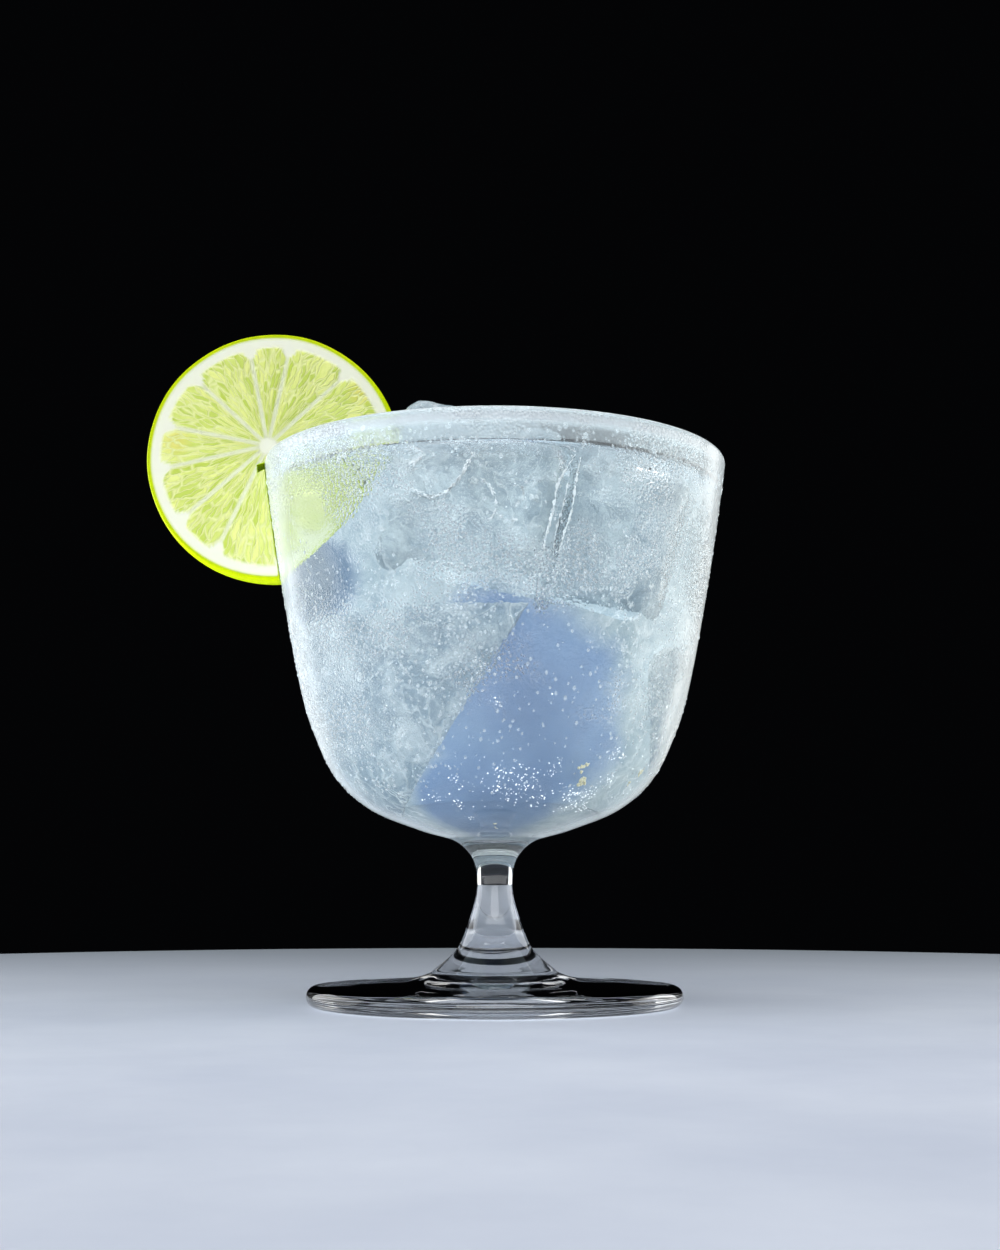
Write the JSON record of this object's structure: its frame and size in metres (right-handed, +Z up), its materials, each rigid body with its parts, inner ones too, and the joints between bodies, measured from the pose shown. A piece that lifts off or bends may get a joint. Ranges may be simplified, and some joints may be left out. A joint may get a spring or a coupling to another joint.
{
  "type": "margarita on the rocks in a stemmed goblet",
  "caption": "Iced margarita in a short-stemmed clear glass goblet, with blocks of ice standing out of the hazy drink and a lime wheel slotted over the rim.",
  "frame": {"origin": "centre of the foot's flat underside, on the goblet's axis", "axes": "+Z up along the goblet's axis, +X to the right of the front view, away from the lime wheel, and the front faces -Y"},
  "size_m": [0.1133, 0.09, 0.1305],
  "materials": {
    "clear_glass": "clear polished glass, misted with fine condensation over the drink",
    "margarita": "hazy pale blue-grey liquid with small bubbles",
    "ice": "melting ice, clear at the edges and cloudy inside",
    "lime": "wet cut citrus flesh in a thin green rind"
  },
  "bodies": {
    "root": {"goblet": "clear_glass", "drink": "margarita", "ice_front": "ice", "ice_right": "ice", "ice_back": "ice", "lime_wheel": "lime"}
  },
  "joints": []
}
